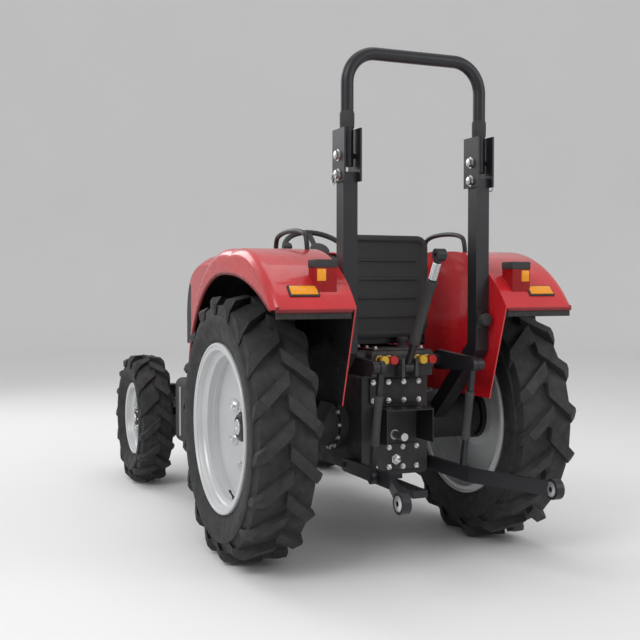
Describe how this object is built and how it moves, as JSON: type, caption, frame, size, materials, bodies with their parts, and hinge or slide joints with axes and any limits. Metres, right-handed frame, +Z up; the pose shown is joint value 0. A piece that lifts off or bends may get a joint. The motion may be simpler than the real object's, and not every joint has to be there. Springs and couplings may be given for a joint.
{
  "type": "compact tractor",
  "caption": "open-station four-wheel-drive farm tractor with lugged tyres, a tilting hood, a folding roll bar, linked steering and a rear three-point hitch",
  "frame": {"origin": "on the ground under the middle of the length, on the centre plane", "axes": "+X forwards, +Y to the driver's left, +Z up; the wheels turn about Y"},
  "size_m": [3.437, 1.524, 2.2299],
  "materials": {
    "body_red": "gloss",
    "chassis_black": "satin",
    "casting_grey": "painted",
    "wheel_silver": "satin",
    "tyre": "matte",
    "black_plastic": "matte",
    "lamp_clear": "gloss",
    "lamp_red": "gloss",
    "seat_vinyl": "satin",
    "bright_steel": "machined"
  },
  "bodies": {
    "chassis": {"rear_axle": "casting_grey", "gearbox": "casting_grey", "engine": "casting_grey", "front_frame": "chassis_black", "front_axle": "chassis_black", "front_driveshaft": "chassis_black", "radiator": "casting_grey", "battery": "black_plastic", "dash_console": "black_plastic", "platform": "chassis_black", "fuel_tank": "black_plastic", "tool_box": "chassis_black", "fender_left": "body_red", "fender_right": "body_red", "tail_lamps": "lamp_red", "lift_housing": "casting_grey", "pto_shield": "chassis_black", "drawbar": "chassis_black", "rops_post_left": "chassis_black", "rops_post_right": "chassis_black", "seat_base": "chassis_black", "seat_cushion": "seat_vinyl", "seat_back": "seat_vinyl", "exhaust": "chassis_black", "controls": "chassis_black"},
    "hood_lid": {"hood": "body_red", "grille_mask": "black_plastic", "headlamps": "lamp_clear", "grille": "black_plastic"},
    "roll_bar": {"rops_hoop": "chassis_black"},
    "steering_wheel_body": {"steering_wheel": "black_plastic"},
    "tie_rod_body": {"tie_rod": "chassis_black"},
    "lift_arms_body": {"lift_arms": "chassis_black"},
    "top_link_body": {"top_link": "chassis_black"},
    "pto_body": {"pto_shaft": "bright_steel"},
    "knuckle_left_body": {"knuckle_left": "chassis_black"},
    "wheel_rear_left": {"tyre_rear_left": "tyre", "rim_rear_left": "wheel_silver", "hub_rear_left": "chassis_black"},
    "wheel_front_left": {"tyre_front_left": "tyre", "rim_front_left": "wheel_silver", "hub_front_left": "chassis_black"},
    "lower_link_left_body": {"lower_link_left": "chassis_black"},
    "lift_rod_left_body": {"lift_rod_left": "chassis_black"},
    "knuckle_right_body": {"knuckle_right": "chassis_black"},
    "wheel_rear_right": {"tyre_rear_right": "tyre", "rim_rear_right": "wheel_silver", "hub_rear_right": "chassis_black"},
    "wheel_front_right": {"tyre_front_right": "tyre", "rim_front_right": "wheel_silver", "hub_front_right": "chassis_black"},
    "lower_link_right_body": {"lower_link_right": "chassis_black"},
    "lift_rod_right_body": {"lift_rod_right": "chassis_black"}
  },
  "joints": [
    {"name": "steer_left", "type": "hinge", "parent": "chassis", "child": "knuckle_left_body", "pos_m": [1.2885, 0.47, 0.4], "axis": [0, 0, 1], "range_deg": [-40, 40]},
    {"name": "steer_right", "type": "hinge", "parent": "chassis", "child": "knuckle_right_body", "pos_m": [1.2885, -0.47, 0.4], "axis": [0, 0, 1], "range_deg": [-40, 40]},
    {"name": "tie_rod_turn", "type": "hinge", "parent": "knuckle_left_body", "child": "tie_rod_body", "pos_m": [1.0635, 0.47, 0.505], "axis": [0, 0, 1], "range_deg": [-40, 40]},
    {"name": "steering_wheel_turn", "type": "hinge", "parent": "chassis", "child": "steering_wheel_body", "pos_m": [-0.0765, 0, 1.4], "axis": [-0.6428, 0, 0.766], "range_deg": [-525, 525]},
    {"name": "wheel_rear_left_spin", "type": "hinge", "parent": "chassis", "child": "wheel_rear_left", "pos_m": [-0.6965, 0.62, 0.595], "axis": [0, 1, 0], "continuous": true},
    {"name": "wheel_rear_right_spin", "type": "hinge", "parent": "chassis", "child": "wheel_rear_right", "pos_m": [-0.6965, -0.62, 0.595], "axis": [0, 1, 0], "continuous": true},
    {"name": "wheel_front_left_spin", "type": "hinge", "parent": "knuckle_left_body", "child": "wheel_front_left", "pos_m": [1.2885, 0.62, 0.4], "axis": [0, 1, 0], "continuous": true},
    {"name": "wheel_front_right_spin", "type": "hinge", "parent": "knuckle_right_body", "child": "wheel_front_right", "pos_m": [1.2885, -0.62, 0.4], "axis": [0, 1, 0], "continuous": true},
    {"name": "hood_lift", "type": "hinge", "parent": "chassis", "child": "hood_lid", "pos_m": [0.2285, 0, 1.395], "axis": [0, -1, 0], "range_deg": [0, 50]},
    {"name": "rops_fold", "type": "hinge", "parent": "chassis", "child": "roll_bar", "pos_m": [-1.1365, 0, 1.77], "axis": [0, -1, 0], "range_deg": [0, 120]},
    {"name": "hitch_lift", "type": "hinge", "parent": "chassis", "child": "lower_link_left_body", "pos_m": [-0.8465, 0.19, 0.42], "axis": [0, 1, 0], "range_deg": [-12, 38]},
    {"name": "lower_link_right_lift", "type": "hinge", "parent": "chassis", "child": "lower_link_right_body", "pos_m": [-0.8465, -0.19, 0.42], "axis": [0, 1, 0], "range_deg": [-12, 38]},
    {"name": "lift_arms_turn", "type": "hinge", "parent": "chassis", "child": "lift_arms_body", "pos_m": [-0.9265, 0, 0.89], "axis": [0, 1, 0], "range_deg": [-12, 38]},
    {"name": "lift_rod_left_turn", "type": "hinge", "parent": "lift_arms_body", "child": "lift_rod_left_body", "pos_m": [-1.2565, 0.22, 0.89], "axis": [0, 1, 0], "range_deg": [-38, 12]},
    {"name": "lift_rod_right_turn", "type": "hinge", "parent": "lift_arms_body", "child": "lift_rod_right_body", "pos_m": [-1.2565, -0.22, 0.89], "axis": [0, 1, 0], "range_deg": [-38, 12]},
    {"name": "top_link_swing", "type": "hinge", "parent": "chassis", "child": "top_link_body", "pos_m": [-1.0715, 0, 0.87], "axis": [0, 1, 0], "range_deg": [-95, 0]},
    {"name": "pto_spin", "type": "hinge", "parent": "chassis", "child": "pto_body", "pos_m": [-0.9565, 0, 0.56], "axis": [1, 0, 0], "continuous": true}
  ],
  "couplings": [
    {"joint": "steer_right", "follows": "steer_left", "ratio": 1},
    {"joint": "tie_rod_turn", "follows": "steer_left", "ratio": -1},
    {"joint": "steering_wheel_turn", "follows": "steer_left", "ratio": 13},
    {"joint": "lower_link_right_lift", "follows": "hitch_lift", "ratio": 1},
    {"joint": "lift_arms_turn", "follows": "hitch_lift", "ratio": 1},
    {"joint": "lift_rod_left_turn", "follows": "hitch_lift", "ratio": -1},
    {"joint": "lift_rod_right_turn", "follows": "hitch_lift", "ratio": -1}
  ]
}
